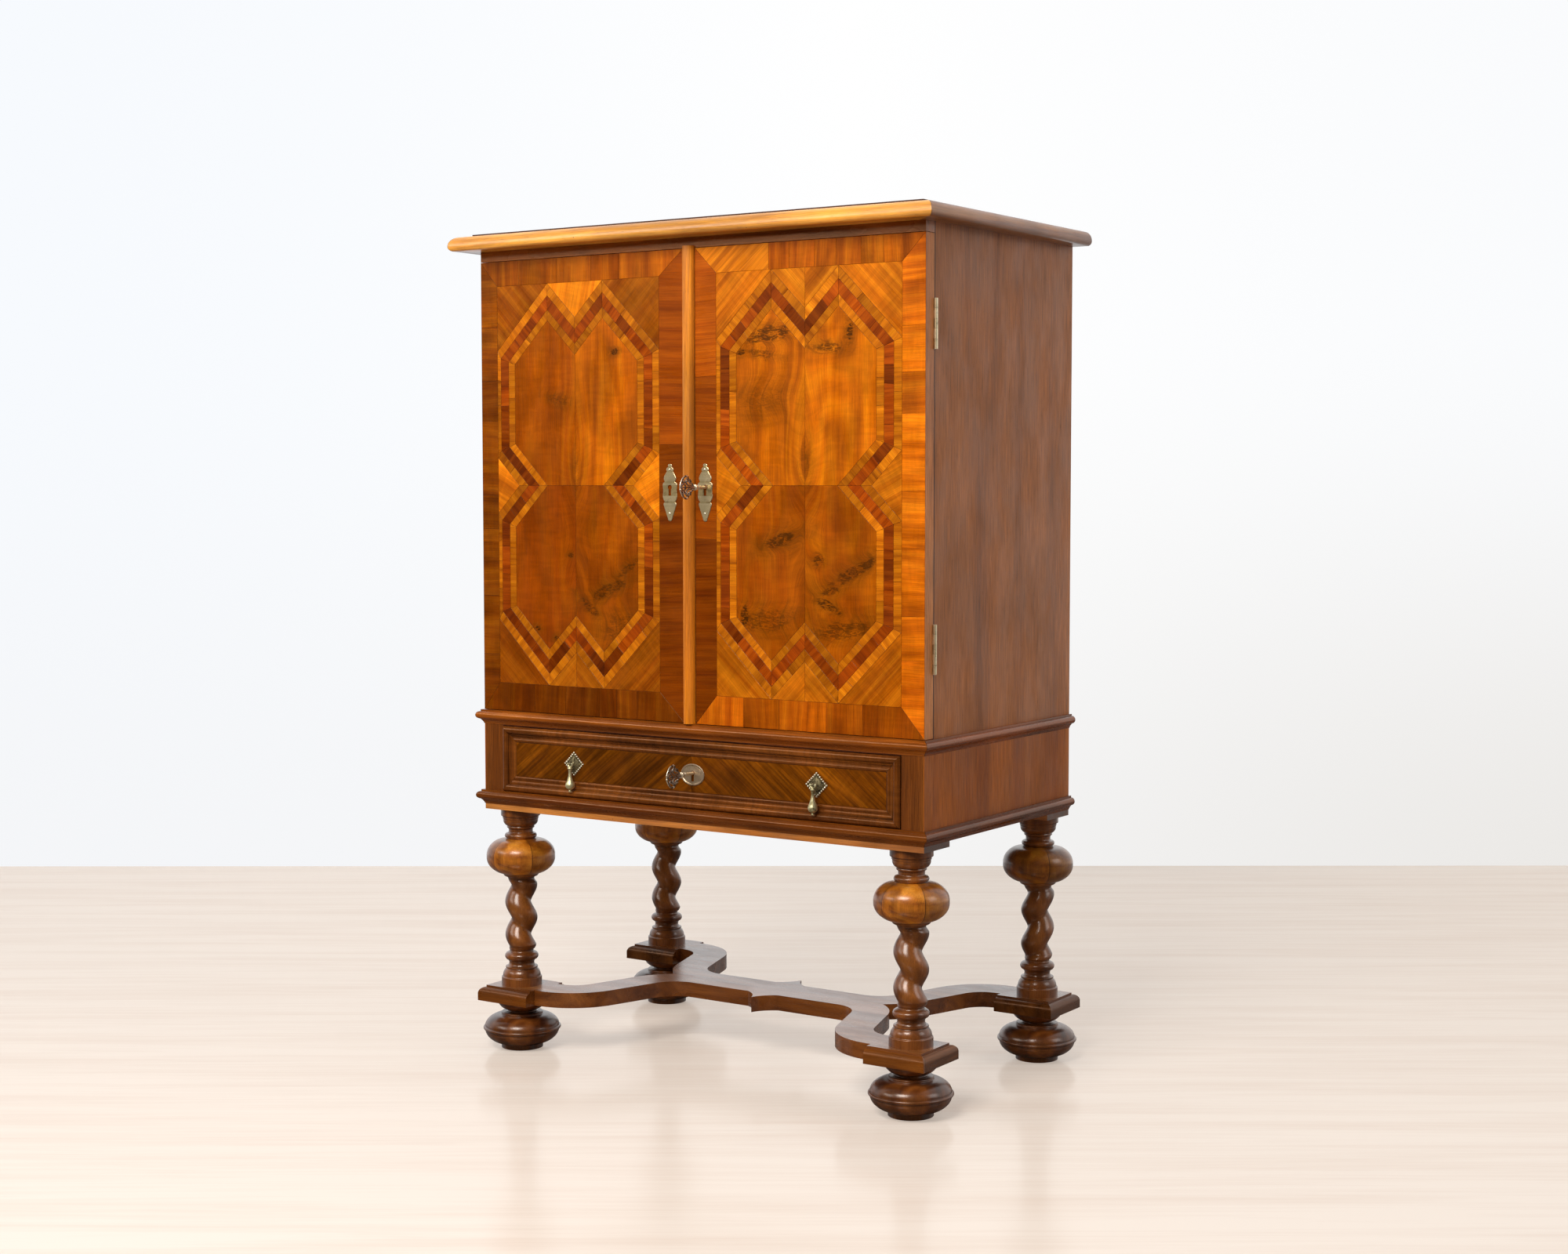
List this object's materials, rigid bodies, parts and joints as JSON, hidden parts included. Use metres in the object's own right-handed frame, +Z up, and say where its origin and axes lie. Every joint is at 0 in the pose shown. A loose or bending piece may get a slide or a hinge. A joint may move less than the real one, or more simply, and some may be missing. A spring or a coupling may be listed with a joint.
{
  "type": "cabinet on stand",
  "caption": "Veneered two-door cabinet on a stand with a drawer, rope-twist turned legs, a curved flat cross stretcher and bun feet; doors, drawer, keys, bolts and drop pulls move.",
  "frame": {"origin": "floor level, midway across the width and midway between the key bows in front and the back feet", "axes": "+Z up, +X to the right seen from the front, +Y from the front to the back"},
  "size_m": [1.0148, 0.6406, 1.5],
  "materials": {
    "veneer": "satin",
    "dark_veneer": "satin",
    "case_wood": "satin",
    "moulding_wood": "satin",
    "stand_moulding_wood": "satin",
    "turned_wood": "gloss",
    "stretcher_wood": "satin",
    "drawer_wood": "satin",
    "inner_wood": "matte",
    "brass": "aged",
    "key_metal": "aged",
    "lock_iron": "dull"
  },
  "bodies": {
    "root": {"top_panel": "case_wood", "top_moulding": "moulding_wood", "case_top": "inner_wood", "case_top_rail": "dark_veneer", "case_side_right": "case_wood", "case_side_left": "case_wood", "case_back": "inner_wood", "case_floor": "case_wood", "shelves": "inner_wood", "shelf_ledgers": "inner_wood", "waist_moulding": "stand_moulding_wood", "frieze_side_right": "case_wood", "frieze_side_left": "case_wood", "frieze_back": "inner_wood", "dust_board": "inner_wood", "drawer_rail": "dark_veneer", "drawer_runners": "inner_wood", "stand_floor": "inner_wood", "base_moulding": "stand_moulding_wood", "batten_front": "stretcher_wood", "batten_back": "stretcher_wood", "plinth_edging": "stretcher_wood", "stretcher_side_right": "stretcher_wood", "stretcher_side_left": "stretcher_wood", "stretcher_bar": "stretcher_wood", "case_hinge_leaves": "brass", "leg_front_right": "turned_wood", "foot_front_right": "turned_wood", "leg_front_left": "turned_wood", "foot_front_left": "turned_wood", "leg_back_right": "turned_wood", "foot_back_right": "turned_wood", "leg_back_left": "turned_wood", "foot_back_left": "turned_wood"},
    "door_right": {"door_right_panel": "veneer", "door_right_hinge_leaves": "brass", "door_right_key_plate": "brass", "door_lock_case": "lock_iron"},
    "door_bolt": {"door_lock_bolt": "lock_iron"},
    "door_key": {"door_key": "key_metal"},
    "door_left": {"door_left_panel": "veneer", "door_left_hinge_leaves": "brass", "door_left_key_plate": "brass", "meeting_strip": "dark_veneer", "lock_keeper": "lock_iron", "slide_bolt_staples": "lock_iron"},
    "slide_bolt_top": {"slide_bolt_top": "lock_iron"},
    "slide_bolt_bottom": {"slide_bolt_bottom": "lock_iron"},
    "drawer": {"drawer_front": "drawer_wood", "drawer_front_frame": "drawer_wood", "drawer_sides": "inner_wood", "drawer_back": "inner_wood", "drawer_bottom": "inner_wood", "drawer_key_plate": "key_metal", "drawer_lock_case": "lock_iron", "handle_plates": "brass"},
    "drawer_bolt": {"drawer_lock_bolt": "lock_iron"},
    "drawer_key": {"drawer_key": "key_metal"},
    "drop_pull_right": {"drop_pull_right": "brass"},
    "drop_pull_left": {"drop_pull_left": "brass"}
  },
  "joints": [
    {"name": "door_right_hinge", "type": "hinge", "parent": "root", "child": "door_right", "pos_m": [0.4725, -0.2182, 1.042], "axis": [0, 0, 1], "range_deg": [0, 170]},
    {"name": "door_left_hinge", "type": "hinge", "parent": "root", "child": "door_left", "pos_m": [-0.4725, -0.2182, 1.042], "axis": [0, 0, -1], "range_deg": [0, 170]},
    {"name": "door_key_turn", "type": "hinge", "parent": "door_right", "child": "door_key", "pos_m": [0.034, -0.2456, 1.042], "axis": [0, 1, 0], "range_deg": [0, 180]},
    {"name": "door_bolt_slide", "type": "slide", "parent": "door_right", "child": "door_bolt", "axis": [-1, 0, 0], "range_m": [0, 0.012]},
    {"name": "slide_bolt_top_slide", "type": "slide", "parent": "door_left", "child": "slide_bolt_top", "axis": [0, 0, 1], "range_m": [0, 0.012]},
    {"name": "slide_bolt_bottom_slide", "type": "slide", "parent": "door_left", "child": "slide_bolt_bottom", "axis": [0, 0, -1], "range_m": [0, 0.012]},
    {"name": "drawer_slide", "type": "slide", "parent": "root", "child": "drawer", "axis": [0, -1, 0], "range_m": [0, 0.34]},
    {"name": "drawer_key_turn", "type": "hinge", "parent": "drawer", "child": "drawer_key", "pos_m": [0.0035, -0.2456, 0.5465], "axis": [0, 1, 0], "range_deg": [0, 180]},
    {"name": "drawer_bolt_slide", "type": "slide", "parent": "drawer", "child": "drawer_bolt", "axis": [0, 0, 1], "range_m": [0, 0.007]},
    {"name": "drop_pull_right_swing", "type": "hinge", "parent": "drawer", "child": "drop_pull_right", "pos_m": [0.26, -0.2556, 0.546], "axis": [-1, 0, 0], "range_deg": [0, 80]},
    {"name": "drop_pull_left_swing", "type": "hinge", "parent": "drawer", "child": "drop_pull_left", "pos_m": [-0.26, -0.2556, 0.546], "axis": [-1, 0, 0], "range_deg": [0, 80]}
  ],
  "couplings": [
    {"joint": "door_bolt_slide", "follows": "door_key_turn", "m_per_rad": 0.0038197},
    {"joint": "drawer_bolt_slide", "follows": "drawer_key_turn", "m_per_rad": 0.0022282}
  ]
}
